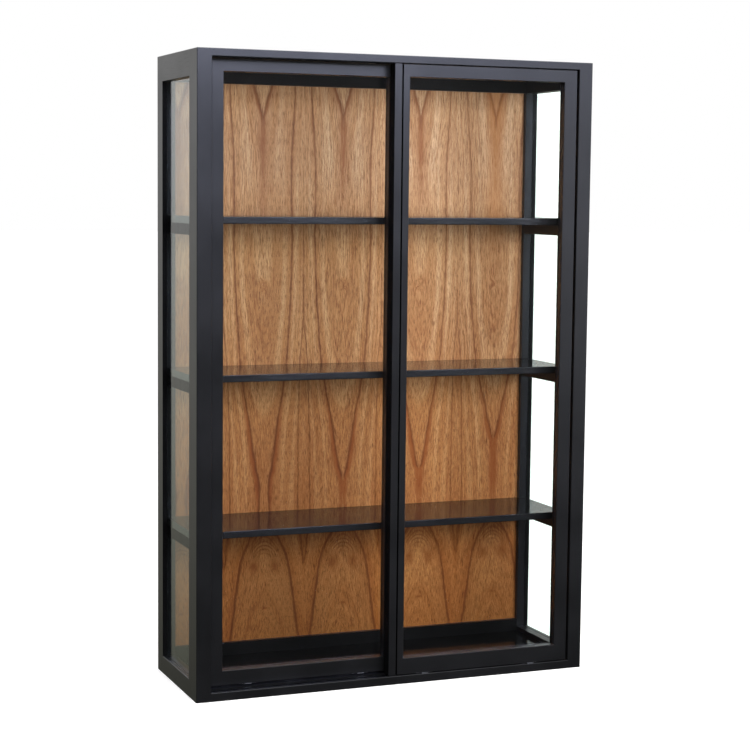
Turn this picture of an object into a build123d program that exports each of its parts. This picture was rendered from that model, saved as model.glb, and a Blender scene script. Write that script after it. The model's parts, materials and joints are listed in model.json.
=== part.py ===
"""Wall mounted showcase with two sliding glass doors, in millimetres.

Seen from the front: +X is right, +Y runs back towards the wall, +Z is up.
The origin is the middle of the footprint, on the underside of the bottom panel.
"""
from build123d import *
import os

os.makedirs("parts", exist_ok=True)

# ---------------------------------------------------------------- driving dimensions
width = 800.0
depth = 270.0
height = 1200.0

post_width = 28.5
front_post_depth = 50.0
rear_post_depth = 37.0
top_thickness = 14.0
bottom_thickness = 16.0
floor_level = 25.0
window_low = 34.0
window_high = 1151.0
arris = 1.2
small_arris = 0.7

glass_thickness = 4.0
side_glass_setback = 8.5
side_rebate = 5.0
side_glass_lap = 4.0

back_panel_thickness = 5.0
back_panel_setback = 10.0
back_window_low = 50.0
back_rebate = 8.0
back_panel_lap = 7.5

shelf_thickness = 13.5
shelf_tops = {"lower": 308.5, "middle": 603.0, "upper": 897.5}
shelf_front_setback = 55.0
cleat_height = 21.0
cleat_proud = 1.5

door_width = 384.0
door_gap = 3.25
door_thickness = 20.0
door_top = 1184.0
door_top_rail_low = 1161.0
door_bottom_rail_top = 49.5
door_stile = 27.0
door_meeting_stile = 31.5
door_glass_reveal = 12.5
door_rebate = 8.0
door_glass_lap = 7.0
front_door_setback = 3.0
rear_door_setback = 28.0
strip_width = 15.0
strip_gap = 3.5
strip_gap_depth = 8.0

wheel_radius = 8.0
wheel_width = 4.2
wheel_clearance = 0.05
axle_radius = 1.5
track_width = 10.0
track_height = 4.0
track_channel = 5.2
track_channel_depth = 2.0
roller_inset = 78.0

channel_width = 9.0
channel_height = 8.0
channel_wall = 1.2
guide_pin_radius = 2.5

hanger_spacing = 600.0
hanger_level = 1173.0
keyhole_radius = 5.0
keyhole_slot = 5.2
keyhole_rise = 9.0

# ---------------------------------------------------------------- derived positions
half_width = width / 2
front = -depth / 2
back = depth / 2
inside = half_width - post_width
front_post_back = front + front_post_depth
rear_post_front = back - rear_post_depth
top_underside = height - top_thickness
glass_outer = half_width - side_glass_setback
glass_inner = glass_outer - glass_thickness
panel_front = rear_post_front + back_panel_setback
panel_back = panel_front + back_panel_thickness
sides = {"left": -1, "right": 1}


# ---------------------------------------------------------------- helpers
def block(x, y, z, mode=Mode.ADD):
    """Adds or cuts a block that fills the given (low, high) spans."""
    spans = [sorted(span) for span in (x, y, z)]
    centre = [(low + high) / 2 for low, high in spans]
    size = [high - low for low, high in spans]
    with Locations(tuple(centre)):
        Box(*size, mode=mode)


def rod(start, direction, radius, length, mode=Mode.ADD):
    """Adds or cuts a round rod that begins at start and runs along direction."""
    with Locations(Plane(origin=start, z_dir=direction)):
        Cylinder(radius, length, align=(Align.CENTER, Align.CENTER, Align.MIN), mode=mode)


def save(piece, name):
    """Labels the finished piece and writes it as its own STEP file."""
    piece.part.label = name
    export_step(piece.part, f"parts/{name}.step")


def mirrored(side, low, high):
    """A span in X, measured outwards from the middle, on the given side."""
    return (side * low, side * high)


def ease(start, end):
    """Takes a small 45 degree arris off the straight edge from start to end."""
    chord = small_arris * 2**0.5
    size = [abs(b - a) if a != b else chord for a, b in zip(start, end)]
    turn = [45 if a != b else 0 for a, b in zip(start, end)]
    centre = [(a + b) / 2 for a, b in zip(start, end)]
    with Locations(Location(tuple(centre), tuple(turn))):
        Box(*size, mode=Mode.SUBTRACT)


def edges_at(piece, corner):
    """The straight edges of a piece that meet at one of its corners."""
    point = Vector(*corner)
    return [edge for edge in piece.edges() if min((edge @ t - point).length for t in (0, 1)) < 0.01]


def outer_top_edge(piece, side):
    """The top edge along Y on the outer side of a rail."""
    runs = piece.edges().filter_by(Axis.Y).group_by(Axis.Z)[-1]
    return runs.sort_by(Axis.X)[0 if side < 0 else -1]


# ---------------------------------------------------------------- dowel and pin places
dowel_radius = 4.0
dowel_reach = 15.0
panel_dowel_radius = 3.0
panel_dowel_reach = 12.0
cleat_pin_radius = 2.0
cleat_pin_reach = 10.0

side_dowel_inset = 9.5
side_dowel_x = half_width - side_dowel_inset
side_dowel_levels = (9.0, 22.0, 1168.0, 1188.0)
rear_dowel_insets = (25.0, 10.0)
rear_dowel_y = [back - inset for inset in rear_dowel_insets]
rear_dowel_levels = (30.0, 1173.0)
panel_dowel_offsets = (25.5, 95.0, 160.0, 254.0)
panel_dowel_y = [front + offset for offset in panel_dowel_offsets]
panel_dowel_levels = (bottom_thickness / 2, height - top_thickness / 2)
cleat_pin_inset = 2.5
cleat_pin_x = inside + cleat_pin_inset


def side_dowels(side, mode=Mode.ADD):
    """Dowels along Y that join the side rails to both posts."""
    for y in (front_post_back, rear_post_front):
        for z in side_dowel_levels:
            start = (side * side_dowel_x, y - dowel_reach, z)
            rod(start, (0, 1, 0), dowel_radius, 2 * dowel_reach, mode)


def rear_dowels(side, mode=Mode.ADD):
    """Dowels along X that join the rear rails to a rear post."""
    for y in rear_dowel_y:
        for z in rear_dowel_levels:
            start = (side * inside - dowel_reach, y, z)
            rod(start, (1, 0, 0), dowel_radius, 2 * dowel_reach, mode)


def panel_dowels(side, mode=Mode.ADD):
    """Dowels along X that join the top and bottom panels to a side frame."""
    for y in panel_dowel_y:
        for z in panel_dowel_levels:
            start = (side * inside - panel_dowel_reach, y, z)
            rod(start, (1, 0, 0), panel_dowel_radius, 2 * panel_dowel_reach, mode)


def cleat_pins(side, mode=Mode.ADD):
    """Steel pins along Y that hold each shelf cleat between its two posts."""
    for top in shelf_tops.values():
        z = top - shelf_thickness - cleat_height / 2
        for y in (front_post_back, rear_post_front):
            start = (side * cleat_pin_x, y - cleat_pin_reach, z)
            rod(start, (0, 1, 0), cleat_pin_radius, 2 * cleat_pin_reach, mode)


# ---------------------------------------------------------------- carcass frame
side_window = (window_low - side_rebate, window_high + side_rebate)
rail_run = (front_post_back, rear_post_front)

for label, side in sides.items():
    outside = side * half_width
    inner_face = side * inside
    bead_span = mirrored(side, inside, glass_inner)
    rebate_span = mirrored(side, inside, glass_outer)

    with BuildPart() as front_post:
        block((inner_face, outside), (front, front_post_back), (0, height))
        fillet(edges_at(front_post, (outside, front, height)), arris)
        ease((inner_face, front, bottom_thickness), (inner_face, front, top_underside))
        ease((outside, front_post_back, window_low), (outside, front_post_back, window_high))
        glass_groove = (front_post_back - side_rebate, front_post_back)
        block(rebate_span, glass_groove, side_window, Mode.SUBTRACT)
        side_dowels(side, Mode.SUBTRACT)
        panel_dowels(side, Mode.SUBTRACT)
        cleat_pins(side, Mode.SUBTRACT)
    save(front_post, f"post_front_{label}")

    with BuildPart() as rear_post:
        block((inner_face, outside), (rear_post_front, back), (0, height))
        fillet(edges_at(rear_post, (outside, back, height)), arris)
        ease((outside, rear_post_front, window_low), (outside, rear_post_front, window_high))
        ease((inner_face, rear_post_front, floor_level), (inner_face, rear_post_front, top_underside))
        glass_groove = (rear_post_front, rear_post_front + side_rebate)
        block(rebate_span, glass_groove, side_window, Mode.SUBTRACT)
        block(
            mirrored(side, inside, inside + back_rebate),
            (panel_front, back),
            (back_window_low - back_rebate, window_high + back_rebate),
            Mode.SUBTRACT,
        )
        side_dowels(side, Mode.SUBTRACT)
        rear_dowels(side, Mode.SUBTRACT)
        panel_dowels(side, Mode.SUBTRACT)
        cleat_pins(side, Mode.SUBTRACT)
    save(rear_post, f"post_rear_{label}")

    with BuildPart() as side_top_rail:
        block((inner_face, outside), rail_run, (window_high, height))
        fillet(outer_top_edge(side_top_rail, side), arris)
        ease((outside, rail_run[0], window_high), (outside, rail_run[1], window_high))
        block(rebate_span, rail_run, (window_high, side_window[1]), Mode.SUBTRACT)
        side_dowels(side, Mode.SUBTRACT)
        panel_dowels(side, Mode.SUBTRACT)
    save(side_top_rail, f"side_top_rail_{label}")

    with BuildPart() as side_bottom_rail:
        block((inner_face, outside), rail_run, (0, window_low))
        ease((outside, rail_run[0], window_low), (outside, rail_run[1], window_low))
        block(rebate_span, rail_run, (side_window[0], window_low), Mode.SUBTRACT)
        side_dowels(side, Mode.SUBTRACT)
        panel_dowels(side, Mode.SUBTRACT)
    save(side_bottom_rail, f"side_bottom_rail_{label}")

    with BuildPart() as side_glass:
        block(
            mirrored(side, glass_inner, glass_outer),
            (rail_run[0] - side_glass_lap, rail_run[1] + side_glass_lap),
            (window_low - side_glass_lap, window_high + side_glass_lap),
        )
    save(side_glass, f"side_glass_{label}")

    with BuildPart() as side_beads:
        for y in (front_post_back - side_rebate, rear_post_front):
            block(bead_span, (y, y + side_rebate), side_window)
        for z in (side_window[0], window_high):
            block(bead_span, rail_run, (z, z + side_rebate))
        cleat_pins(side, Mode.SUBTRACT)
    save(side_beads, f"side_glass_beads_{label}")

    with BuildPart() as shelf_cleats:
        for top in shelf_tops.values():
            underside = top - shelf_thickness
            block(
                mirrored(side, inside - cleat_proud, glass_inner),
                rail_run,
                (underside - cleat_height, underside),
            )
        cleat_pins(side, Mode.SUBTRACT)
    save(shelf_cleats, f"shelf_cleats_{label}")

# ---------------------------------------------------------------- top, bottom and floor
panel_run = (-inside, inside)
front_track_y = front + front_door_setback + door_thickness / 2
rear_track_y = front + rear_door_setback + door_thickness / 2

with BuildPart() as top_panel:
    block(panel_run, (front, back), (top_underside, height))
    long_edges = top_panel.edges().filter_by(Axis.X)
    fillet(long_edges.group_by(Axis.Z)[-1], arris)
    ease((-inside, front, top_underside), (inside, front, top_underside))
    for y in (front_track_y, rear_track_y):
        block(
            panel_run,
            (y - channel_width / 2, y + channel_width / 2),
            (top_underside, top_underside + channel_height),
            Mode.SUBTRACT,
        )
    for side in sides.values():
        panel_dowels(side, Mode.SUBTRACT)
save(top_panel, "top_panel")

with BuildPart() as bottom_panel:
    block(panel_run, (front, back), (0, bottom_thickness))
    ease((-inside, front, bottom_thickness), (inside, front, bottom_thickness))
    block(
        panel_run,
        (front_track_y - track_width / 2, front_track_y + track_width / 2),
        (bottom_thickness - track_height, bottom_thickness),
        Mode.SUBTRACT,
    )
    for side in sides.values():
        panel_dowels(side, Mode.SUBTRACT)
save(bottom_panel, "bottom_panel")

with BuildPart() as floor_panel:
    block(panel_run, rail_run, (bottom_thickness, floor_level))
    ease((-inside, rail_run[0], floor_level), (inside, rail_run[0], floor_level))
save(floor_panel, "floor_panel")

# ---------------------------------------------------------------- tracks and guide channels
track_levels = {
    "front": bottom_thickness - track_height,
    "rear": bottom_thickness,
}
track_lines = {"front": front_track_y, "rear": rear_track_y}

for label, y in track_lines.items():
    base = track_levels[label]
    with BuildPart() as track:
        with BuildSketch(Plane.YZ.offset(-inside)):
            with Locations((y, base)):
                Rectangle(track_width, track_height, align=(Align.CENTER, Align.MIN))
            with Locations((y, base + track_height)):
                Rectangle(
                    track_channel,
                    track_channel_depth,
                    align=(Align.CENTER, Align.MAX),
                    mode=Mode.SUBTRACT,
                )
        extrude(amount=2 * inside)
    save(track, f"track_{label}")

    with BuildPart() as guide_channel:
        with BuildSketch(Plane.YZ.offset(-inside)):
            with Locations((y, top_underside)):
                Rectangle(channel_width, channel_height, align=(Align.CENTER, Align.MIN))
                Rectangle(
                    channel_width - 2 * channel_wall,
                    channel_height - channel_wall,
                    align=(Align.CENTER, Align.MIN),
                    mode=Mode.SUBTRACT,
                )
        extrude(amount=2 * inside)
    save(guide_channel, f"guide_channel_{label}")

# ---------------------------------------------------------------- rear rails and back panel
plate_width = 62.0
plate_height = 25.0
plate_thickness = 2.0
pocket_depth = 14.0
pocket_width = 14.0
pocket_margin = 2.0
hanger_centres = [side * hanger_spacing / 2 for side in sides.values()]
hanger_screw_offset = 23.0
hanger_screw_radius = 1.75
hanger_screw_head = 3.4
hanger_screw_length = 16.0


def hanger_screws(x, mode=Mode.ADD):
    """The two screws that hold one hanger plate, heads flush with its face."""
    for offset in (-hanger_screw_offset, hanger_screw_offset):
        tip = (x + offset, back - hanger_screw_length, hanger_level)
        rod(tip, (0, 1, 0), hanger_screw_radius, hanger_screw_length, mode)
        head_start = (x + offset, back - plate_thickness, hanger_level)
        with Locations(Plane(origin=head_start, z_dir=(0, 1, 0))):
            Cone(
                hanger_screw_radius,
                hanger_screw_head,
                plate_thickness,
                align=(Align.CENTER, Align.CENTER, Align.MIN),
                mode=mode,
            )


panel_screw_radius = 1.5
panel_screw_length = 13.0
panel_screw_head = 3.0
panel_screw_head_height = 1.8
panel_screw_columns = (-280.0, -140.0, 0.0, 140.0, 280.0)
panel_screw_rows = (back_window_low - back_rebate / 2, window_high + back_rebate / 2)


def panel_screws(mode=Mode.ADD):
    """Screws from behind, through the back panel's top and bottom margins."""
    for x in panel_screw_columns:
        for z in panel_screw_rows:
            tip = (x, panel_back - panel_screw_length, z)
            rod(tip, (0, 1, 0), panel_screw_radius, panel_screw_length, mode)


with BuildPart() as rear_top_rail:
    block(panel_run, (rear_post_front, back), (window_high, top_underside))
    ease((-inside, rear_post_front, window_high), (inside, rear_post_front, window_high))
    block(
        panel_run,
        (panel_front, back),
        (window_high, window_high + back_rebate),
        Mode.SUBTRACT,
    )
    for x in hanger_centres:
        block(
            (x - plate_width / 2, x + plate_width / 2),
            (back - plate_thickness, back),
            (hanger_level - plate_height / 2, hanger_level + plate_height / 2),
            Mode.SUBTRACT,
        )
        block(
            (x - pocket_width / 2, x + pocket_width / 2),
            (back - pocket_depth, back),
            (hanger_level - keyhole_radius - pocket_margin, top_underside),
            Mode.SUBTRACT,
        )
        hanger_screws(x, Mode.SUBTRACT)
    for side in sides.values():
        rear_dowels(side, Mode.SUBTRACT)
    panel_screws(Mode.SUBTRACT)
save(rear_top_rail, "rear_top_rail")

with BuildPart() as rear_bottom_rail:
    block(panel_run, (rear_post_front, back), (bottom_thickness, back_window_low))
    ease((-inside, rear_post_front, back_window_low), (inside, rear_post_front, back_window_low))
    block(
        panel_run,
        (panel_front, back),
        (back_window_low - back_rebate, back_window_low),
        Mode.SUBTRACT,
    )
    for side in sides.values():
        rear_dowels(side, Mode.SUBTRACT)
    panel_screws(Mode.SUBTRACT)
save(rear_bottom_rail, "rear_bottom_rail")

with BuildPart() as back_panel:
    block(
        (-inside - back_panel_lap, inside + back_panel_lap),
        (panel_front, panel_back),
        (back_window_low - back_panel_lap, window_high + back_panel_lap),
    )
    panel_screws(Mode.SUBTRACT)
save(back_panel, "back_panel")

with BuildPart() as back_panel_screws:
    panel_screws()
    for x in panel_screw_columns:
        for z in panel_screw_rows:
            rod((x, panel_back, z), (0, 1, 0), panel_screw_head, panel_screw_head_height)
save(back_panel_screws, "back_panel_screws")

stop_depth = 8.0
with BuildPart() as back_panel_stops:
    for side in sides.values():
        block(
            mirrored(side, inside, inside + back_rebate),
            (panel_back, panel_back + stop_depth),
            (back_window_low - back_rebate, window_high + back_rebate),
        )
save(back_panel_stops, "back_panel_stops")

# ---------------------------------------------------------------- shelves
shelf_side_clearance = 1.0
shelf_notch = 0.5
for label, top in shelf_tops.items():
    reach = glass_inner - shelf_side_clearance
    with BuildPart() as shelf:
        block(
            (-reach, reach),
            (front + shelf_front_setback, panel_front - shelf_notch),
            (top - shelf_thickness, top),
        )
        front_edges = shelf.edges().filter_by(Axis.X).group_by(Axis.Y)[0]
        fillet(front_edges, arris)
        for side in sides.values():
            block(
                mirrored(side, inside - shelf_notch, half_width),
                (rear_post_front - shelf_notch, back),
                (top - shelf_thickness, top),
                Mode.SUBTRACT,
            )
    save(shelf, f"shelf_{label}")

# ---------------------------------------------------------------- carcass hardware
with BuildPart() as dowels:
    for side in sides.values():
        side_dowels(side)
        rear_dowels(side)
        panel_dowels(side)
save(dowels, "carcass_dowels")

with BuildPart() as pins:
    for side in sides.values():
        cleat_pins(side)
save(pins, "shelf_cleat_pins")

for label, side in sides.items():
    x = side * hanger_spacing / 2
    with BuildPart() as hanger_plate:
        block(
            (x - plate_width / 2, x + plate_width / 2),
            (back - plate_thickness, back),
            (hanger_level - plate_height / 2, hanger_level + plate_height / 2),
        )
        rod(
            (x, back - plate_thickness, hanger_level),
            (0, 1, 0),
            keyhole_radius,
            plate_thickness,
            Mode.SUBTRACT,
        )
        rod(
            (x, back - plate_thickness, hanger_level + keyhole_rise),
            (0, 1, 0),
            keyhole_slot / 2,
            plate_thickness,
            Mode.SUBTRACT,
        )
        block(
            (x - keyhole_slot / 2, x + keyhole_slot / 2),
            (back - plate_thickness, back),
            (hanger_level, hanger_level + keyhole_rise),
            Mode.SUBTRACT,
        )
        hanger_screws(x, Mode.SUBTRACT)
    save(hanger_plate, f"hanger_plate_{label}")

with BuildPart() as plate_screws:
    for x in hanger_centres:
        hanger_screws(x)
save(plate_screws, "hanger_plate_screws")

bumper_radius = 4.0
bumper_thickness = 2.75
bumper_levels = (110.0, 1090.0)
with BuildPart() as bumpers:
    for side in sides.values():
        for y in track_lines.values():
            for z in bumper_levels:
                rod((side * inside, y, z), (-side, 0, 0), bumper_radius, bumper_thickness)
save(bumpers, "door_bumpers")

# ---------------------------------------------------------------- sliding doors
tenon_length = 10.0
tenon_thickness = 7.0
tenon_setback = 3.0
tenon_shoulder = 4.0

bracket_length = 34.0
bracket_width = 11.0
bracket_thickness = 1.5
nose_width = 13.0
cheek_thickness = 1.2
cheek_length = 12.0
cheek_rise = 8.0
cheek_gap = 5.2
nose_setback = 0.4
wheel_chamfer = 0.5
mortise_length = 20.0
mortise_width = 9.0
mortise_rise = 14.0
slot_length = 17.0
bracket_screw_offset = 13.0
bracket_screw_radius = 1.4
bracket_screw_length = 14.0
guide_pin_depth = 18.0
guide_pin_rise = 8.5
guide_pin_round = 1.2
strip_overhang = 0.8
strip_proud = 1.5


def tenon(x_start, x_end, y_face, low, high, mode=Mode.ADD):
    """A rail's tenon, or the mortise for it in a stile."""
    block(
        (x_start, x_end),
        (y_face + tenon_setback, y_face + tenon_setback + tenon_thickness),
        (low + tenon_shoulder, high - tenon_shoulder),
        mode,
    )


def build_door(label, x_left, y_face, z_bottom, axle_level, meeting_side):
    """One framed glass door. meeting_side is -1 where the leading edge is on the left."""
    x_right = x_left + door_width
    y_back = y_face + door_thickness
    y_mid = y_face + door_thickness / 2
    has_strip = label == "front"
    left_width = door_meeting_stile if meeting_side < 0 else door_stile
    right_width = door_stile if meeting_side < 0 else door_meeting_stile
    opening_left = x_left + left_width
    opening_right = x_right - right_width
    glass_low = door_bottom_rail_top - door_glass_lap
    glass_high = door_top_rail_low + door_glass_lap
    rebate_span_z = (door_bottom_rail_top - door_rebate, door_top_rail_low + door_rebate)
    rebate_span_y = (y_face + door_glass_reveal, y_back)
    opening_z = (door_bottom_rail_top, door_top_rail_low)
    stile_start = x_left + strip_width if has_strip else x_left
    rail_levels = ((z_bottom, door_bottom_rail_top), (door_top_rail_low, door_top))
    roller_places = (x_left + roller_inset, x_right - roller_inset)

    with BuildPart() as left_stile:
        block((stile_start, opening_left), (y_face, y_back), (z_bottom, door_top))
        ease((stile_start, y_face, z_bottom), (stile_start, y_face, door_top))
        ease((opening_left, y_face, opening_z[0]), (opening_left, y_face, opening_z[1]))
        if has_strip:
            block(
                (stile_start, stile_start + strip_gap),
                (y_face, y_face + strip_gap_depth),
                (z_bottom, door_top),
                Mode.SUBTRACT,
            )
        block((opening_left - door_rebate, opening_left), rebate_span_y, rebate_span_z, Mode.SUBTRACT)
        for low, high in rail_levels:
            tenon(opening_left - tenon_length, opening_left, y_face, low, high, Mode.SUBTRACT)

    with BuildPart() as right_stile:
        block((opening_right, x_right), (y_face, y_back), (z_bottom, door_top))
        ease((x_right, y_face, z_bottom), (x_right, y_face, door_top))
        ease((opening_right, y_face, opening_z[0]), (opening_right, y_face, opening_z[1]))
        block((opening_right, opening_right + door_rebate), rebate_span_y, rebate_span_z, Mode.SUBTRACT)
        for low, high in rail_levels:
            tenon(opening_right, opening_right + tenon_length, y_face, low, high, Mode.SUBTRACT)

    outer, meeting = (right_stile, left_stile) if meeting_side < 0 else (left_stile, right_stile)
    save(outer, f"{label}_door_outer_stile")
    save(meeting, f"{label}_door_meeting_stile")

    if has_strip:
        with BuildPart() as meeting_strip:
            block(
                (x_left, x_left + strip_width),
                (y_face - strip_proud, y_back),
                (z_bottom - strip_overhang, door_top + strip_overhang),
            )
            fillet(meeting_strip.edges().filter_by(Axis.Z).group_by(Axis.Y)[0], small_arris)
        save(meeting_strip, f"{label}_door_meeting_strip")

    with BuildPart() as top_rail:
        low, high = rail_levels[1]
        block((opening_left, opening_right), (y_face, y_back), (low, high))
        ease((opening_left, y_face, low), (opening_right, y_face, low))
        block(
            (opening_left, opening_right),
            rebate_span_y,
            (low, low + door_rebate),
            Mode.SUBTRACT,
        )
        tenon(opening_left - tenon_length, opening_left, y_face, low, high)
        tenon(opening_right, opening_right + tenon_length, y_face, low, high)
        for x in roller_places:
            start = (x, y_mid, door_top - guide_pin_depth)
            rod(start, (0, 0, 1), guide_pin_radius, guide_pin_depth, Mode.SUBTRACT)
    save(top_rail, f"{label}_door_top_rail")

    with BuildPart() as bottom_rail:
        low, high = rail_levels[0]
        block((opening_left, opening_right), (y_face, y_back), (low, high))
        ease((opening_left, y_face, high), (opening_right, y_face, high))
        block(
            (opening_left, opening_right),
            rebate_span_y,
            (high - door_rebate, high),
            Mode.SUBTRACT,
        )
        tenon(opening_left - tenon_length, opening_left, y_face, low, high)
        tenon(opening_right, opening_right + tenon_length, y_face, low, high)
        for x in roller_places:
            block(
                (x - mortise_length / 2, x + mortise_length / 2),
                (y_mid - mortise_width / 2, y_mid + mortise_width / 2),
                (low, low + mortise_rise),
                Mode.SUBTRACT,
            )
            for offset in (-bracket_screw_offset, bracket_screw_offset):
                rod(
                    (x + offset, y_mid, low),
                    (0, 0, 1),
                    bracket_screw_radius,
                    bracket_screw_length - bracket_thickness,
                    Mode.SUBTRACT,
                )
    save(bottom_rail, f"{label}_door_bottom_rail")

    with BuildPart() as glass:
        block(
            (opening_left - door_glass_lap, opening_right + door_glass_lap),
            (y_face + door_glass_reveal, y_face + door_glass_reveal + glass_thickness),
            (glass_low, glass_high),
        )
    save(glass, f"{label}_door_glass")

    with BuildPart() as beads:
        bead_y = (y_face + door_glass_reveal + glass_thickness, y_back)
        for x in (opening_left - door_rebate, opening_right):
            block((x, x + door_rebate), bead_y, rebate_span_z)
        for z in (rebate_span_z[0], door_top_rail_low):
            block((opening_left, opening_right), bead_y, (z, z + door_rebate))
    save(beads, f"{label}_door_glass_beads")

    with BuildPart() as guide_pins:
        for x in roller_places:
            start = (x, y_mid, door_top - guide_pin_depth)
            rod(start, (0, 0, 1), guide_pin_radius, guide_pin_depth + guide_pin_rise)
        fillet(guide_pins.edges().group_by(Axis.Z)[-1], guide_pin_round)
    save(guide_pins, f"{label}_door_guide_pins")

    with BuildPart() as brackets:
        for x in roller_places:
            plate_z = (z_bottom - bracket_thickness, z_bottom)
            block(
                (x - bracket_length / 2, x + bracket_length / 2),
                (y_mid - bracket_width / 2, y_mid + bracket_width / 2),
                plate_z,
            )
            block(
                (x - nose_width / 2, x + nose_width / 2),
                (y_face + nose_setback, y_mid - bracket_width / 2),
                plate_z,
            )
            block(
                (x - slot_length / 2, x + slot_length / 2),
                (y_mid - cheek_gap / 2, y_mid + cheek_gap / 2),
                plate_z,
                Mode.SUBTRACT,
            )
            for y in (y_mid - cheek_gap / 2 - cheek_thickness, y_mid + cheek_gap / 2):
                block(
                    (x - cheek_length / 2, x + cheek_length / 2),
                    (y, y + cheek_thickness),
                    (z_bottom - bracket_thickness, z_bottom + cheek_rise),
                )
            axle_start = (x, y_mid - mortise_width / 2, axle_level)
            rod(axle_start, (0, 1, 0), axle_radius, mortise_width, Mode.SUBTRACT)
            for offset in (-bracket_screw_offset, bracket_screw_offset):
                rod(
                    (x + offset, y_mid, z_bottom - bracket_thickness),
                    (0, 0, 1),
                    bracket_screw_radius,
                    bracket_thickness,
                    Mode.SUBTRACT,
                )
    save(brackets, f"{label}_door_roller_brackets")

    with BuildPart() as axles:
        axle_length = cheek_gap + 2 * cheek_thickness
        for x in roller_places:
            rod((x, y_mid - axle_length / 2, axle_level), (0, 1, 0), axle_radius, axle_length)
    save(axles, f"{label}_door_roller_axles")

    with BuildPart() as bracket_screws:
        for x in roller_places:
            for offset in (-bracket_screw_offset, bracket_screw_offset):
                rod(
                    (x + offset, y_mid, z_bottom - bracket_thickness),
                    (0, 0, 1),
                    bracket_screw_radius,
                    bracket_screw_length,
                )
    save(bracket_screws, f"{label}_door_bracket_screws")

    for end, x in zip(("left", "right"), roller_places):
        with BuildPart() as wheel:
            with BuildSketch(Plane.XZ.offset(-y_mid - wheel_width / 2)):
                with Locations((x, axle_level)):
                    Circle(wheel_radius)
                    Circle(axle_radius + wheel_clearance, mode=Mode.SUBTRACT)
            extrude(amount=wheel_width)
            rims = wheel.edges().filter_by(GeomType.CIRCLE).group_by(SortBy.RADIUS)[-1]
            chamfer(rims, wheel_chamfer)
        save(wheel, f"{label}_door_wheel_{end}")


running_gap = 0.05
track_floor = track_height - track_channel_depth
front_axle = track_levels["front"] + track_floor + running_gap + wheel_radius
rear_axle = track_levels["rear"] + track_floor + running_gap + wheel_radius
front_door_bottom = 18.0
rear_door_bottom = 22.0

build_door(
    label="rear",
    x_left=-inside + door_gap,
    y_face=front + rear_door_setback,
    z_bottom=rear_door_bottom,
    axle_level=rear_axle,
    meeting_side=1,
)
build_door(
    label="front",
    x_left=inside - door_gap - door_width,
    y_face=front + front_door_setback,
    z_bottom=front_door_bottom,
    axle_level=front_axle,
    meeting_side=-1,
)
print("front axle level", front_axle, "rear axle level", rear_axle)
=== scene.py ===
"""Looks, light and camera for the wall mounted showcase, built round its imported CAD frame.

Lengths are in metres, except in the veneer section, which is in millimetres.
"""
import json
import math

import bpy
from mathutils import Matrix, Vector


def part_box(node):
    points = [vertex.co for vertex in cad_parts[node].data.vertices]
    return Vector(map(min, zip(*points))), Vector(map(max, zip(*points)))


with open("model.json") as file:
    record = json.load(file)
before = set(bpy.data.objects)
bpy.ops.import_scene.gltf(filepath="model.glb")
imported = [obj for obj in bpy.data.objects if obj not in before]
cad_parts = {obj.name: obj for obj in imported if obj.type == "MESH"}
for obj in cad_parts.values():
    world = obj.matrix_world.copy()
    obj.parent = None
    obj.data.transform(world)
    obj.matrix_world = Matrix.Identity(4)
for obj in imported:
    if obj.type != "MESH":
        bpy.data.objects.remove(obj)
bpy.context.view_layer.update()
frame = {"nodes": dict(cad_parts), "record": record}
scene = bpy.context.scene


# ---------------------------------------------------------------- camera
CAMERA_PLACE = (-1.34811, -3.36899, 0.94116)
CAMERA_YAW, CAMERA_PITCH, CAMERA_ROLL = 21.86099, 5.56687, -0.59956
CAMERA_LENS = 88.97
SENSOR = 36.0
GLASS_LAYERS = 24


def place_camera():
    """A camera at CAMERA_PLACE, turned right by yaw, down by pitch and then rolled."""
    yaw, pitch, roll = (math.radians(a) for a in (CAMERA_YAW, CAMERA_PITCH, CAMERA_ROLL))
    level = math.cos(pitch)
    forward = Vector((math.sin(yaw) * level, math.cos(yaw) * level, -math.sin(pitch)))
    level_right = Vector((math.cos(yaw), -math.sin(yaw), 0.0))
    level_down = forward.cross(level_right)
    right = math.cos(roll) * level_right + math.sin(roll) * level_down
    down = -math.sin(roll) * level_right + math.cos(roll) * level_down
    turn = Matrix((right, -down, -forward)).transposed().to_4x4()
    data = bpy.data.cameras.new("camera")
    data.lens = CAMERA_LENS
    data.sensor_width = SENSOR
    camera = bpy.data.objects.new("camera", data)
    camera.matrix_world = Matrix.Translation(CAMERA_PLACE) @ turn
    scene.collection.objects.link(camera)
    scene.camera = camera


place_camera()
scene.view_settings.view_transform = "Standard"
scene.cycles.transparent_max_bounces = GLASS_LAYERS


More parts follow.
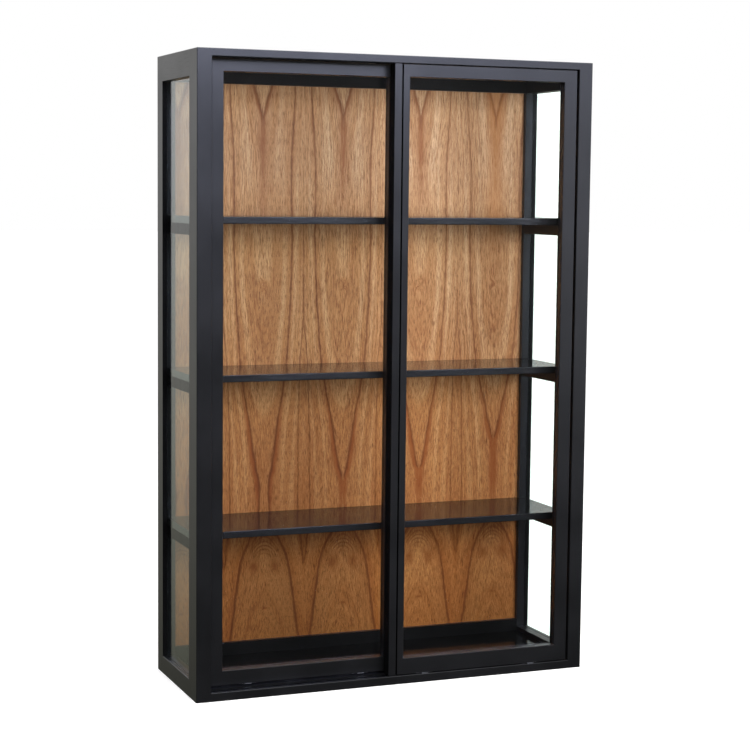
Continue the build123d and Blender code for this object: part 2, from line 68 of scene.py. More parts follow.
# ---------------------------------------------------------------- node graph helper
class Graph:
    """Short names for building a node tree. A value is a socket, a number or a colour."""

    def __init__(self, tree):
        self.tree = tree
        tree.nodes.clear()

    def add(self, kind, **settings):
        node = self.tree.nodes.new(kind)
        for name, value in settings.items():
            setattr(node, name, value)
        return node

    def feed(self, socket, value):
        if isinstance(value, bpy.types.NodeSocket):
            self.tree.links.new(value, socket)
        elif value is not None:
            if hasattr(socket.default_value, "__len__") and hasattr(value, "__len__"):
                value = (tuple(value) + (1.0,))[: len(socket.default_value)]
            socket.default_value = value

    def math(self, operation, a, b=None, c=None, clamp=False):
        node = self.add("ShaderNodeMath", operation=operation, use_clamp=clamp)
        for socket, value in zip(node.inputs, (a, b, c)):
            self.feed(socket, value)
        return node.outputs[0]

    def sum(self, *values):
        total = values[0]
        for value in values[1:]:
            total = self.math("ADD", total, value)
        return total

    def product(self, *values):
        total = values[0]
        for value in values[1:]:
            total = self.math("MULTIPLY", total, value)
        return total

    def less(self, a, b):
        return self.math("SUBTRACT", a, b)

    def ratio(self, a, b):
        return self.math("DIVIDE", a, b)

    def square(self, value):
        return self.math("POWER", value, 2.0)

    def positive(self, value):
        return self.math("MAXIMUM", value, 0.0)

    def decay(self, value, rate=1.0):
        """1 at 0, falling exponentially."""
        return self.math("EXPONENT", self.product(value, -rate))

    def vector(self, x, y, z):
        node = self.add("ShaderNodeCombineXYZ")
        for socket, value in zip(node.inputs, (x, y, z)):
            self.feed(socket, value)
        return node.outputs[0]

    def split(self, vector):
        node = self.add("ShaderNodeSeparateXYZ")
        self.feed(node.inputs[0], vector)
        return node.outputs

    def place(self):
        """The point on the surface, in metres in the object's own frame."""
        return self.add("ShaderNodeTexCoord").outputs["Object"]

    def scaled(self, vector, scale):
        node = self.add("ShaderNodeVectorMath", operation="MULTIPLY")
        self.feed(node.inputs[0], vector)
        self.feed(node.inputs[1], scale)
        return node.outputs[0]

    def noise(self, vector, scale=1.0, detail=2.0, roughness=0.5, distortion=0.0):
        node = self.add("ShaderNodeTexNoise")
        self.feed(node.inputs["Vector"], vector)
        node.inputs["Scale"].default_value = scale
        node.inputs["Detail"].default_value = detail
        node.inputs["Roughness"].default_value = roughness
        node.inputs["Distortion"].default_value = distortion
        return node.outputs["Fac"]

    def span(self, value, low, high, to_low=0.0, to_high=1.0, smooth=True):
        """value taken from low..high to to_low..to_high, and held outside that."""
        curve = "SMOOTHSTEP" if smooth else "LINEAR"
        node = self.add("ShaderNodeMapRange", interpolation_type=curve)
        for socket, given in zip(node.inputs, (value, low, high, to_low, to_high)):
            self.feed(socket, given)
        return node.outputs[0]

    def ramp(self, value, low, high, to_low=0.0, to_high=1.0):
        """span in a straight line, without the soft ends."""
        return self.span(value, low, high, to_low, to_high, smooth=False)

    def fall(self, value, low, high):
        """1 up to low, and 0 from high."""
        return self.span(value, low, high, 1.0, 0.0)

    def curve(self, value, points, low, high, top):
        """A smooth curve through (input, output) points.

        Inputs run from low to high and outputs from 0 to top.
        """
        node = self.add("ShaderNodeFloatCurve")
        line = node.mapping.curves[0]
        scaled = [((a - low) / (high - low), b / top) for a, b in sorted(points)]
        line.points[0].location = scaled[0]
        line.points[1].location = scaled[-1]
        for point in scaled[1:-1]:
            line.points.new(*point)
        node.mapping.update()
        self.feed(node.inputs["Value"], self.ramp(value, low, high))
        return self.product(node.outputs[0], top)

    def blend(self, share, a, b, mode="MIX"):
        node = self.add("ShaderNodeMix", data_type="RGBA", blend_type=mode)
        factor, colour_a, colour_b = (node.inputs[i] for i in (0, 6, 7))
        self.feed(factor, share)
        self.feed(colour_a, a)
        self.feed(colour_b, b)
        return node.outputs[2]

    def facing(self):
        """The direction that the surface faces, in the object's own frame."""
        return self.split(self.add("ShaderNodeTexCoord").outputs["Normal"])

    def bump(self, height, distance, strength=1.0, after=None):
        node = self.add("ShaderNodeBump")
        self.feed(node.inputs["Height"], height)
        node.inputs["Distance"].default_value = distance
        node.inputs["Strength"].default_value = strength
        if after is not None:
            self.feed(node.inputs["Normal"], after)
        return node.outputs[0]

    def surface(self, **sockets):
        """A Principled shader with the named sockets set, wired to the output."""
        shader = self.add("ShaderNodeBsdfPrincipled")
        for name, value in sockets.items():
            self.feed(shader.inputs[name.replace("_", " ")], value)
        output = self.add("ShaderNodeOutputMaterial")
        self.feed(output.inputs["Surface"], shader.outputs[0])
        return shader


def new_material(name):
    material = bpy.data.materials.new(name)
    material.use_nodes = True
    return material, Graph(material.node_tree)


# ---------------------------------------------------------------- black lacquer
GRAIN_SCALES = {
    "x": (22.0, 700.0, 700.0),
    "y": (700.0, 22.0, 700.0),
    "z": (700.0, 700.0, 22.0),
}
LACQUER_TONES = ((0.0036, 0.0037, 0.0040), (0.0052, 0.0053, 0.0058))
LACQUER_PORES = (0.0020, 0.0020, 0.0022)
LACQUER_LEVEL = 0.45
LACQUER_RELIEF = 0.00002
POLISHED_RELIEF = 0.000006
POLISHED_ROUGHNESS = -0.22
# Specular level of the polished kinds' level faces.
POLISH_LEVELS = {"polished": 0.23, "polished_dark": 0.06}
# The dull kinds: the dull side's axis (it looks down it), specular level and extra roughness.
DULL_SIDES = {
    "matt_edge": (0, 0.02, 0.30),
    "matt_under": (2, 0.04, 0.30),
    "matt_front": (1, 0.05, 0.0),
}


def make_lacquer(run, kind="satin"):
    """Satin black lacquer over wood whose grain runs along one axis.

    The polished kinds mirror on their level faces. The others are dull on one side: matt_edge on
    the left, matt_under below and matt_front on the front.
    """
    material, g = new_material("lacquer_" + run + ("" if kind == "satin" else "_" + kind))
    place = g.place()
    pores = g.noise(g.scaled(place, GRAIN_SCALES[run]), detail=3.0, roughness=0.6)
    peel = g.noise(place, scale=260.0, detail=2.0)
    cloud = g.noise(place, scale=9.0, detail=3.0)
    tone = g.blend(g.span(cloud, 0.3, 0.7), *LACQUER_TONES)
    fine = g.span(pores, 0.32, 0.5, 1.0, 0.0)
    colour = g.blend(g.product(fine, 0.35), tone, LACQUER_PORES)
    roughness = g.sum(g.span(cloud, 0.25, 0.75, 0.29, 0.34), g.product(fine, 0.05))
    relief, level = LACQUER_RELIEF, LACQUER_LEVEL
    facing = g.facing()
    if kind in POLISH_LEVELS:
        flat = g.span(g.math("ABSOLUTE", facing[2]), 0.4, 0.8)
        roughness = g.sum(roughness, g.product(flat, POLISHED_ROUGHNESS))
        level = g.span(flat, 0.0, 1.0, LACQUER_LEVEL, POLISH_LEVELS[kind])
        relief = POLISHED_RELIEF
    if kind in DULL_SIDES:
        axis, dull_level, rougher = DULL_SIDES[kind]
        dull = g.fall(facing[axis], -0.8, -0.4)
        roughness = g.sum(roughness, g.product(dull, rougher))
        level = g.span(dull, 0.0, 1.0, LACQUER_LEVEL, dull_level)
    normal = g.bump(peel, relief, 0.4, after=g.bump(pores, relief, 0.30))
    g.surface(Base_Color=colour, Roughness=roughness, Normal=normal, Specular_IOR_Level=level)
    return material


# ---------------------------------------------------------------- veneer, in millimetres
# A leaf runs from its heart (u = 0) to its seam (u = LEAF), and each next leaf mirrors it.
LEAF = 84.0
FIRST_AXIS = -190.0
STAINED_AXIS = 6 * LEAF
LEAN = -0.0075
LEAN_LEVEL = 400.0
PANEL_TOP = 1170.0
# How far out from the heart the main vein and the seam's vein run, by height.
VEIN_CURVE = (
    (0, 79.0), (46, 73.0), (112, 63.0), (169, 54.5), (210, 47.0), (258, 28.0), (300, 13.5),
    (335, 10.0), (368, 11.5), (392, 16.5), (438, 23.0), (484, 29.5), (568, 44.0), (608, 48.5),
    (690, 54.5), (760, 58.0), (860, 59.5), (990, 60.0), (1060, 62.5), (1098, 64.4),
    (1153, 66.9), (1170, 67.6),
)
VEIN_TOP = 90.0
SEAM_CURVE = (
    (0, 0), (188, 0), (206, 2.0), (232, 5.0), (258, 8.0), (310, 11.5), (380, 12.5), (470, 12.0),
    (568, 9.4), (640, 5.0), (688, 1.2), (720, 0), (1170, 0),
)
SEAM_TOP = 20.0
# How much the vein's square is shifted inwards, by x, plus SHIFT_BASE.
SHIFT_CURVE = (
    (-358, 40.0), (-190, 50.0), (-22, 170.0), (146, 235.0), (314, 560.0), (400, 560.0),
)
SHIFT_TOP = 600.0
SHIFT_BASE = 50.0
SHIFT_SPAN = 400
# Keeps the square of the ring coordinate above zero.
RING_BASE = 6300.0
# Sideways wobbles: noise scales across, by leaf and along z, noise detail, and size.
WOBBLES = (
    (0.030, 0.06, 0.0085, 2.0, 7.0),
    (0.11, 0.5, 0.045, 3.0, 3.4),
    (0.22, 0.9, 0.16, 2.0, 2.0),
)
# Soft round marks: u, z, half width and half height.
EYE = (22.0, 197.0, 11.5, 14.5)
KNOT = (0.0, 112.0, 7.0, 2.8)
SWIRL = (0.0, 760.0, 9.0, 11.0)

LIGHT_WOOD = (0.628, 0.390, 0.208)
WARM_WOOD = (0.458, 0.238, 0.107)
BROWN_WOOD = (0.225, 0.074, 0.024)
DARK_FIBRE = (0.215, 0.076, 0.027)
PALE_FIBRE = (0.700, 0.445, 0.240)
PORE_BROWN = (0.090, 0.030, 0.011)
VEIN_BROWN = (0.105, 0.028, 0.010)
HALO_BROWN = (0.250, 0.080, 0.026)
STAIN_ORANGE = (0.390, 0.150, 0.044)
BACKING_WOOD = ((0.400, 0.262, 0.150), (0.290, 0.172, 0.090))
BACKING_PORES = (0.150, 0.080, 0.040)
# Tints that multiply the colour: beside the low veins, in clouds, towards the bottom and the top.
OUTER_TINT = (0.92, 0.76, 0.60)
CLOUD_TINT = (0.600, 0.330, 0.140)
LOW_TINT = (0.96, 0.655, 0.375)
PALE_TINT = (1.08, 1.18, 1.42)
GREEN_SHARE = 1.028


class Leaves:
    """The sockets that place a point of the back panel in the book-matched leaves."""

    def __init__(self, g):
        self.g = g
        self.x, _, self.z = g.split(g.scaled(g.place(), (1000.0, 1000.0, 1000.0)))
        lean = g.product(g.less(self.z, LEAN_LEVEL), LEAN)
        self.across = g.less(g.less(self.x, FIRST_AXIS), lean)
        self.leaf = g.math("FLOOR", g.ratio(self.across, LEAF))
        self.mirror = g.math("PINGPONG", self.across, LEAF)
        self.u = self.mirror
        for scale_across, scale_leaf, scale_z, detail, size in WOBBLES:
            wobble = g.noise(self.spot_for_noise(scale_across, scale_leaf, scale_z), detail=detail)
            self.u = g.sum(self.u, g.product(g.less(wobble, 0.5), size))
        self.place_vein()
        self.place_rings()

    def spot_for_noise(self, scale_across, scale_leaf, scale_z):
        g = self.g
        return g.vector(
            g.product(self.mirror, scale_across), g.product(self.leaf, scale_leaf),
            g.product(self.z, scale_z),
        )

    def place_vein(self):
        """outward is the distance beyond the main vein, whose Vs are sharp in the third bay."""
        g, z = self.g, self.z
        reach = g.curve(z, VEIN_CURVE, 0, PANEL_TOP, VEIN_TOP)
        straight_x = g.math("ADD", self.across, FIRST_AXIS)
        shift = g.curve(straight_x, SHIFT_CURVE, -SHIFT_SPAN, SHIFT_SPAN, SHIFT_TOP)
        self.shift = g.less(shift, SHIFT_BASE)
        self.heart = g.less(g.square(reach), self.shift)
        rounded = g.math("SQRT", g.positive(self.heart))
        sharp = g.positive(g.less(reach, g.math("SQRT", g.positive(self.shift))))
        sharp_share = g.product(g.span(z, 330, 350, 0.0, 0.5), g.fall(z, 500, 650))
        vein = g.sum(rounded, g.product(sharp_share, g.less(sharp, rounded)))
        self.outward = g.less(self.u, vein)

    def place_rings(self):
        """ring follows the growth rings, which bend round the marks."""
        g = self.g
        square = g.less(g.sum(g.square(self.u), RING_BASE), self.heart)
        ring = g.math("SQRT", g.math("MAXIMUM", square, 1.0))
        self.eye, self.knot, self.swirl = (self.mark(*mark) for mark in (EYE, KNOT, SWIRL))
        self.ring = g.sum(
            ring, g.product(self.eye, 3.0), g.product(self.knot, 3.0), g.product(self.swirl, 6.0)
        )

    def mark(self, u_mm, z_mm, half_width, half_height):
        """A soft round patch, 1 at its middle, mirrored into every leaf."""
        g = self.g
        du = g.ratio(g.less(self.mirror, u_mm), half_width)
        dz = g.ratio(g.less(self.z, z_mm), half_height)
        return g.decay(g.sum(g.square(du), g.square(dz)))


class Grain:
    """Noises along the rings: broad bands, lines, fibres, pores and clouds."""

    def __init__(self, g, at):
        seed = g.product(at.leaf, 3.7)
        band_place = g.vector(g.product(at.ring, 0.11), 0.0, g.product(at.z, 0.0016))
        self.bands = g.noise(band_place, detail=2.0, roughness=0.5)
        line_place = g.vector(
            g.product(at.ring, 0.42), g.product(at.leaf, 0.02), g.product(at.z, 0.004)
        )
        self.lines = g.noise(line_place, detail=3.0, roughness=0.6)
        # Fibres and pores get longer towards the top.
        drawn = g.less(g.product(at.z, 0.108), g.product(at.z, at.z, 0.000024))
        fibre_across = g.product(g.sum(at.ring, g.product(at.u, 0.6)), 1.10)
        self.fibres = g.noise(
            g.vector(fibre_across, seed, g.product(drawn, 0.50)), detail=3.0, roughness=0.6
        )
        pore_across = g.product(g.sum(at.u, g.product(at.ring, 0.3)), 1.30)
        self.pores = g.noise(g.vector(pore_across, seed, drawn), detail=2.0, roughness=0.55)
        cloud_place = g.vector(g.product(at.x, 0.009), 0.0, g.product(at.z, 0.004))
        self.cloud = g.noise(cloud_place, detail=2.0)


class Figure:
    """How dark each line of the figure is: the veins with their halos, the crowns and the seams."""

    def __init__(self, g, at, grain):
        z = at.z
        fade_place = g.vector(g.product(at.leaf, 1.7), 0.0, g.product(z, 0.022))
        fade = g.span(g.noise(fade_place, detail=3.0), 0.35, 0.60, 0.72, 1.0)
        broken = g.product(g.span(grain.pores, 0.25, 0.6, 1.0, 0.75), fade)

        def stroke(distance, width):
            """1 on a line and falling to 0 at width from it."""
            return g.span(g.math("ABSOLUTE", distance), 0.0, width, 1.0, 0.0)

        # The main vein is wider in the bottom bay, and round the Vs of the third bay.
        third_bay = g.product(g.span(z, 285, 350), g.fall(z, 430, 600))
        swell_place = g.scaled(fade_place, (1.0, 1.0, 2.3))
        swell = g.span(g.noise(swell_place, detail=2.0), 0.3, 0.7, 2.4, 4.0)
        vein_width = g.sum(swell, g.span(z, 220, 330, 1.5, 0.0), g.product(third_bay, 1.6))
        vein = g.product(stroke(at.outward, vein_width), broken, g.span(at.heart, -10.0, 40.0))
        halo_width = g.sum(g.product(third_bay, 8.0), 5.0)
        halo_share = g.sum(g.product(third_bay, 0.52), g.span(z, 230, 330, 0.50, 0.28))
        self.halo = g.product(
            g.fall(at.outward, g.product(halo_width, 0.35), halo_width),
            g.span(at.outward, -1.5, 0.8), halo_share,
        )
        self.outer_field = g.product(g.span(at.outward, 0.0, 7.0), g.span(z, 200, 280, 0.55, 0.0))

        # The crowns: a V at the top of each heart, on a dark stem.
        crown_tip = g.sum(g.product(g.math("MINIMUM", at.shift, 200.0), 0.05), 1090.0)
        crown_reach = g.product(g.positive(g.less(z, crown_tip)), 0.29)
        crown_out = g.less(g.math("ABSOLUTE", at.u), crown_reach)
        crown = g.product(stroke(crown_out, 6.0), g.span(z, 1060, 1100), broken)
        self.stained = g.decay(g.square(g.ratio(g.less(at.across, STAINED_AXIS), 19.0)))
        stem = g.less(1.0, g.product(self.stained, g.span(z, 1060, 1120, 0.85, 0.0)))
        crown_halo = g.product(
            g.decay(g.positive(g.less(crown_out, 2.5)), 0.13),
            g.span(crown_out, -1.5, 1.0), g.span(z, 840, 1060), 0.88, stem,
        )
        self.crown_halo = g.math("MINIMUM", crown_halo, 0.78)

        seam_reach = g.curve(z, SEAM_CURVE, 0, PANEL_TOP, SEAM_TOP)
        seam_out = g.less(g.less(LEAF, at.u), seam_reach)
        seam_zone = g.product(g.span(z, 188, 206), g.fall(z, 960, 1000))
        seam_width = g.span(z, 300, 380, 3.2, 2.2)
        seam = g.product(stroke(seam_out, seam_width), seam_zone, broken, 0.95)

        lines = g.sum(g.product(vein, 0.95), g.product(crown, 0.8), g.product(seam, 0.92))
        self.dark = g.math("MINIMUM", lines, 0.93)


def plain_wood(g, at, grain):
    """The wood without its figure. Arches stand over the eyes of the bottom bay."""
    z = at.z
    plain = g.span(z, 150, 270, 0.55, 1.0)
    arch_zone = g.product(g.span(z, 205, 235), g.fall(z, 255, 300), g.fall(at.mirror, 20, 34))
    colour = g.blend(
        g.product(g.span(grain.bands, 0.25, 0.62), plain), LIGHT_WOOD, WARM_WOOD
    )
    line_depth = g.sum(g.product(arch_zone, 0.40), 0.38)
    line_share = g.product(g.span(grain.lines, 0.50, 0.74), plain, line_depth)
    colour = g.blend(line_share, colour, BROWN_WOOD)
    arch_wave = g.math("SINE", g.sum(g.product(at.ring, 3.2), g.product(grain.bands, 4.0)))
    arch_share = g.product(g.span(arch_wave, -0.2, 0.9), arch_zone, 0.50)
    colour = g.blend(arch_share, colour, BROWN_WOOD)
    colour = g.blend(g.product(g.span(grain.fibres, 0.47, 0.66), 0.72), colour, DARK_FIBRE)
    colour = g.blend(g.product(g.span(grain.fibres, 0.46, 0.28), 0.26), colour, PALE_FIBRE)
    pore_share = g.product(g.span(grain.pores, 0.50, 0.64), g.span(z, 150, 450, 0.62, 0.68))
    return g.blend(pore_share, colour, PORE_BROWN)


def draw_figure(g, at, figure, colour):
    """The figure laid over the plain wood."""
    x, z = at.x, at.z
    colour = g.blend(figure.outer_field, colour, OUTER_TINT, mode="MULTIPLY")
    colour = g.blend(figure.halo, colour, HALO_BROWN)
    colour = g.blend(figure.crown_halo, colour, BROWN_WOOD)
    marks = g.sum(at.eye, g.product(at.swirl, 0.25), at.knot)
    colour = g.blend(g.product(marks, 0.64), colour, BROWN_WOOD)
    stain = g.sum(
        g.product(figure.stained, g.span(z, 800, 900), 0.50),
        g.product(figure.stained, g.span(z, 1085, 1140), 0.25),
    )
    colour = g.blend(stain, colour, STAIN_ORANGE)
    dark_share = g.product(g.span(x, -60, 120, 1.0, 0.80), g.span(z, 230, 330, 0.84, 1.0))
    return g.blend(g.product(figure.dark, dark_share), colour, VEIN_BROWN)


def tint_wood_and_paint_shade(g, at, grain, colour):
    """Clouds, tints that warm the colour towards the bottom and pale it towards the top, and
    painted light and shade: darker towards the bottom and in the low left corner, lighter towards
    the right.
    """
    x, z = at.x, at.z
    colour = g.blend(g.span(grain.cloud, 0.3, 0.7, 0.0, 0.22), colour, CLOUD_TINT, mode="MULTIPLY")
    colour = g.blend(g.ramp(z, 80, 850, 1.0, 0.0), colour, LOW_TINT, mode="MULTIPLY")
    pale = g.sum(
        g.product(g.span(z, 840, 1000), g.span(x, -250, 200, 0.65, 1.0)),
        g.product(g.span(z, 560, 640), g.fall(z, 840, 1000), g.span(x, -20, 150, 0.0, 0.38)),
    )
    colour = g.blend(pale, colour, PALE_TINT, mode="MULTIPLY")
    # Painted shade: the veneer gets darker towards the bottom, where less light reaches it.
    painted_shade_by_height = g.sum(g.ramp(z, 60, 420, 0.47, 0.80), g.ramp(z, 420, 900, 0.0, 0.16))
    # Painted shade in the low left corner of the bottom bay.
    painted_low_left_shade = g.product(g.fall(z, 180, 380), g.span(x, -330, -240), g.fall(x, -150, 40))
    # Painted light: the veneer is darker on the left and lighter on the right, as the light falls.
    tone = g.product(
        painted_shade_by_height, g.span(x, -200, 250, 0.92, 1.15), g.span(painted_low_left_shade, 0.0, 1.0, 1.0, 0.88)
    )
    painted_light_colour = g.vector(tone, g.product(tone, GREEN_SHARE), tone)
    return g.blend(1.0, colour, painted_light_colour, mode="MULTIPLY")


def make_veneer():
    """Figured, book-matched veneer. The side that faces the wall has a plain backing veneer."""
    material, g = new_material("veneer")
    at = Leaves(g)
    grain = Grain(g, at)
    figure = Figure(g, at, grain)
    fibres, pores = grain.fibres, grain.pores
    colour = draw_figure(g, at, figure, plain_wood(g, at, grain))
    colour = tint_wood_and_paint_shade(g, at, grain, colour)
    backing = g.blend(g.span(fibres, 0.35, 0.70), *BACKING_WOOD)
    backing = g.blend(g.product(g.span(pores, 0.51, 0.64), 0.5), backing, BACKING_PORES)
    colour = g.blend(g.span(g.facing()[1], 0.3, 0.7), colour, backing)

    roughness = g.sum(
        g.span(fibres, 0.2, 0.8, 0.40, 0.54), g.product(g.span(pores, 0.56, 0.7), 0.10)
    )
    relief = g.sum(
        g.product(g.span(pores, 0.52, 0.7), -1.0), g.product(fibres, 0.5),
        g.product(figure.dark, -0.4),
    )
    g.surface(
        Base_Color=colour, Roughness=roughness, Normal=g.bump(relief, 0.00008, 0.6),
        Specular_IOR_Level=0.12,
    )
    return material


# ---------------------------------------------------------------- glass
SIDE_GLASS_TINT = (0.885, 0.975, 0.935)
DOOR_GLASS_TINT = (0.966, 0.979, 0.978)
GLASS_SHADOW = (0.905, 0.915, 0.920)
GLASS_IOR = 1.5


def make_glass(name, tint):
    """Float glass with a faint uneven film. Shadow and diffuse rays pass straight through."""
    material, g = new_material(name)
    place = g.place()
    wave = g.noise(place, scale=2.4, detail=1.0)
    film = g.noise(place, scale=14.0, detail=4.0)
    shader = g.add("ShaderNodeBsdfPrincipled")
    g.feed(shader.inputs["Base Color"], tint)
    g.feed(shader.inputs["Roughness"], g.span(film, 0.45, 0.8, 0.0, 0.02))
    g.feed(shader.inputs["Transmission Weight"], 1.0)
    g.feed(shader.inputs["IOR"], GLASS_IOR)
    g.feed(shader.inputs["Normal"], g.bump(wave, 0.0004, 0.05))
    clear = g.add("ShaderNodeBsdfTransparent")
    g.feed(clear.inputs["Color"], GLASS_SHADOW)
    path = g.add("ShaderNodeLightPath")
    mix = g.add("ShaderNodeMixShader")
    share = g.math("MAXIMUM", path.outputs["Is Shadow Ray"], path.outputs["Is Diffuse Ray"])
    g.feed(mix.inputs[0], share)
    g.feed(mix.inputs[1], shader.outputs[0])
    g.feed(mix.inputs[2], clear.outputs[0])
    output = g.add("ShaderNodeOutputMaterial")
    g.feed(output.inputs["Surface"], mix.outputs[0])
    return material


# ---------------------------------------- metal, plastic, rubber, plain wood
STEEL_TONES = ((0.50, 0.50, 0.49), (0.66, 0.66, 0.64))
TRACK_TONES = ((0.020, 0.020, 0.022), (0.055, 0.055, 0.058))
PLASTIC_TONES = ((0.016, 0.016, 0.017), (0.026, 0.026, 0.027))
RUBBER_TONES = ((0.012, 0.012, 0.012), (0.022, 0.021, 0.020))
BEECH_TONES = ((0.60, 0.42, 0.25), (0.70, 0.52, 0.34))
BEECH_RAYS = (0.36, 0.21, 0.11)


def make_steel():
    material, g = new_material("steel")
    place = g.place()
    brush = g.noise(g.scaled(place, (60.0, 2600.0, 2600.0)), detail=3.0)
    stain = g.noise(place, scale=160.0, detail=4.0)
    colour = g.blend(g.span(stain, 0.3, 0.7), *STEEL_TONES)
    g.surface(
        Base_Color=colour, Metallic=1.0, Roughness=g.span(brush, 0.2, 0.8, 0.22, 0.42),
        Normal=g.bump(brush, 0.00003, 0.4),
    )
    return material


def make_track_metal():
    material, g = new_material("track_metal")
    place = g.place()
    drawn = g.noise(g.scaled(place, (8.0, 3000.0, 3000.0)), detail=2.0)
    rub = g.noise(g.scaled(place, (30.0, 200.0, 200.0)), detail=4.0)
    colour = g.blend(g.span(rub, 0.5, 0.75), *TRACK_TONES)
    g.surface(
        Base_Color=colour, Metallic=1.0, Roughness=g.span(drawn, 0.2, 0.8, 0.30, 0.45),
        Normal=g.bump(drawn, 0.00003, 0.4),
    )
    return material


def make_moulded(name, tones, roughness, grain):
    """A moulded black plastic or rubber with a fine skin."""
    material, g = new_material(name)
    place = g.place()
    skin = g.noise(place, scale=grain, detail=3.0)
    cloud = g.noise(place, scale=60.0, detail=2.0)
    colour = g.blend(g.span(cloud, 0.3, 0.7), *tones)
    g.surface(
        Base_Color=colour, Roughness=g.span(skin, 0.2, 0.8, roughness - 0.06, roughness + 0.06),
        Normal=g.bump(skin, 0.00004, 0.5),
    )
    return material


def make_beech():
    material, g = new_material("beech")
    place = g.place()
    rays = g.noise(g.scaled(place, (900.0, 900.0, 160.0)), detail=3.0)
    tone = g.noise(g.scaled(place, (60.0, 60.0, 6.0)), detail=3.0)
    colour = g.blend(g.span(tone, 0.3, 0.7), *BEECH_TONES)
    colour = g.blend(g.span(rays, 0.55, 0.75, 0.0, 0.5), colour, BEECH_RAYS)
    g.surface(
        Base_Color=colour, Roughness=g.span(rays, 0.2, 0.8, 0.55, 0.7),
        Normal=g.bump(rays, 0.00005, 0.5),
    )
    return material


# ---------------------------------------------------------------- materials on the CAD pieces
lacquers = {run: make_lacquer(run) for run in "xyz"}
side_glass = make_glass("side_glass", SIDE_GLASS_TINT)
shelf_lacquer = make_lacquer("x", "polished")
strip_lacquer = make_lacquer("z", "matt_edge")
rear_post_lacquer = make_lacquer("z", "matt_front")
by_name = {
    "shelf_lower": shelf_lacquer,
    "shelf_middle": shelf_lacquer,
    "shelf_upper": shelf_lacquer,
    "floor_panel": make_lacquer("x", "polished_dark"),
    "side_glass_left": side_glass,
    "side_glass_right": side_glass,
    "front_door_meeting_strip": strip_lacquer,
    "front_door_meeting_stile": strip_lacquer,
    "top_panel": make_lacquer("x", "matt_under"),
    "post_rear_left": rear_post_lacquer,
    "post_rear_right": rear_post_lacquer,
    "rear_bottom_rail": make_lacquer("x", "matt_front"),
}
by_slot = {
    "veneer": make_veneer(),
    "glass": make_glass("glass", DOOR_GLASS_TINT),
    "steel": make_steel(),
    "track_metal": make_track_metal(),
    "black_plastic": make_moulded("black_plastic", PLASTIC_TONES, 0.5, 2400.0),
    "rubber": make_moulded("rubber", RUBBER_TONES, 0.75, 1800.0),
    "raw_wood": make_beech(),
}
slots = {row["node"]: row["material_slot"] for row in frame["record"]["subparts"]}


def lacquer_run(name):
    """The way the wood runs: along the node's longest side, except where it holds short cleats."""
    if "cleats" in name:
        return "y"
    low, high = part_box(name)
    sizes = [high[i] - low[i] for i in range(3)]
    return "xyz"[sizes.index(max(sizes))]


def choose_material(name):
    if name in by_name:
        return by_name[name]
    if slots[name] == "lacquer":
        return lacquers[lacquer_run(name)]
    return by_slot[slots[name]]


for name, node in frame["nodes"].items():
    node.data.materials.clear()
    node.data.materials.append(choose_material(name))


# ---------------------------------------------------------------- floor and light
FLOOR_REACH = 40.0
FLOOR_DROP = 0.0005
WHITE = (1.0, 1.0, 1.0)
# The white behind glass is seen through two or more panes, so it is brighter.
WHITE_THROUGH_GLASS = (2.0, 2.0, 2.0)
LOW_REAR_TINT = (1.0, 1.0, 0.76)
KEY_COLOUR = (0.89, 0.945, 1.26)
CARD_COLOUR = (0.94, 0.97, 1.08)
FILL_COLOUR = (1.0, 0.98, 0.95)
FILL_TARGET = (0.0, 0.1, 0.7)


def make_floor():
    mesh = bpy.data.meshes.new("floor")
    corners = [(-1, -1), (1, -1), (1, 1), (-1, 1)]
    mesh.from_pydata(
        [(x * FLOOR_REACH, y * FLOOR_REACH, 0) for x, y in corners], [], [(0, 1, 2, 3)]
    )
    floor = bpy.data.objects.new("floor", mesh)
    floor.location.z = -FLOOR_DROP
    scene.collection.objects.link(floor)
    material, g = new_material("floor")
    g.surface(
        Base_Color=(0.86, 0.86, 0.86), Roughness=0.9, Specular_IOR_Level=0.1,
        Emission_Color=WHITE, Emission_Strength=0.45,
    )
    mesh.materials.append(material)
    floor.visible_glossy = False
    floor.visible_diffuse = False
    floor.visible_transmission = False


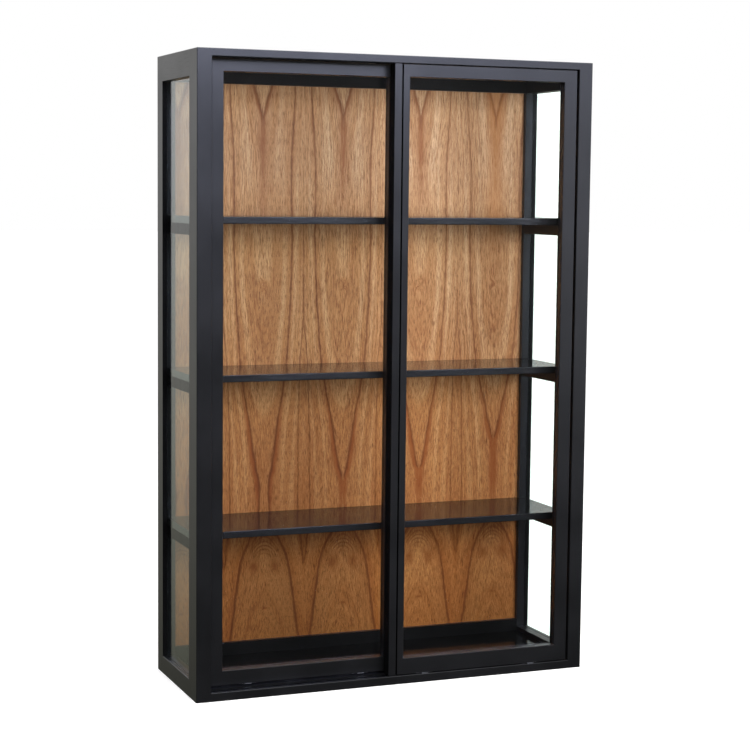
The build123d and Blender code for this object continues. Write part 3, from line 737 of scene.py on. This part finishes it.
def make_world():
    """White where it is looked at.

    As light it is pale behind the object, and dark in front, more so below.
    """
    world = bpy.data.worlds.new("studio")
    world.use_nodes = True
    scene.world = world
    g = Graph(world.node_tree)
    _, y, z = g.split(g.add("ShaderNodeTexCoord").outputs["Generated"])
    rear = g.ramp(z, -0.30, 0.15, 0.06, 0.98)
    front = g.sum(g.span(z, -0.20, 0.25, 0.02, 0.14), g.span(z, 0.25, 0.80, 0.0, 0.70))
    rear_tint = g.blend(g.ramp(z, -0.30, 0.02), LOW_REAR_TINT, WHITE)
    rear_light = g.blend(1.0, rear_tint, g.vector(rear, rear, rear), mode="MULTIPLY")
    light = g.blend(g.span(y, 0.10, 0.70), front, rear_light)
    path = g.add("ShaderNodeLightPath")
    seen = g.blend(path.outputs["Is Transmission Ray"], WHITE, WHITE_THROUGH_GLASS)
    bounces = g.sum(path.outputs["Diffuse Depth"], path.outputs["Glossy Depth"])
    looked_at = g.math("LESS_THAN", bounces, 0.5)
    shader = g.add("ShaderNodeBackground")
    g.feed(shader.inputs["Color"], g.blend(looked_at, light, seen))
    output = g.add("ShaderNodeOutputWorld")
    g.feed(output.inputs["Surface"], shader.outputs[0])


def add_softbox(name, place, target, size, power, colour=WHITE):
    data = bpy.data.lights.new(name, "AREA")
    data.shape = "RECTANGLE"
    data.size, data.size_y = size
    data.energy = power
    data.color = colour
    lamp = bpy.data.objects.new(name, data)
    lamp.location = place
    lamp.rotation_mode = "QUATERNION"
    lamp.rotation_quaternion = (Vector(target) - Vector(place)).to_track_quat("-Z", "Y")
    scene.collection.objects.link(lamp)
    return lamp


def add_fill(name, place, size, power):
    """A softbox that lights matt surfaces only, so it isn't mirrored in lacquer or glass."""
    fill = add_softbox(name, place, FILL_TARGET, size, power, FILL_COLOUR)
    fill.visible_glossy = False
    fill.visible_transmission = False


make_floor()
make_world()
key = add_softbox("key", (0.15, -2.7, 2.30), (0.1, 0.0, 0.80), (3.4, 1.4), 190.0, KEY_COLOUR)
key.visible_diffuse = False
add_softbox("side_card", (2.2, -2.5, 0.88), (0.3, 0.0, 0.78), (1.0, 1.1), 7.8, CARD_COLOUR)
add_fill("fill_right", (0.75, -2.9, 1.20), (3.0, 1.4), 178.0)
add_fill("fill_left", (-1.9, -2.8, 1.20), (1.8, 1.4), 25.0)
add_softbox("floor_light", (0.0, -0.6, 4.2), (0.0, -0.2, 0.0), (3.0, 2.4), 40.0)
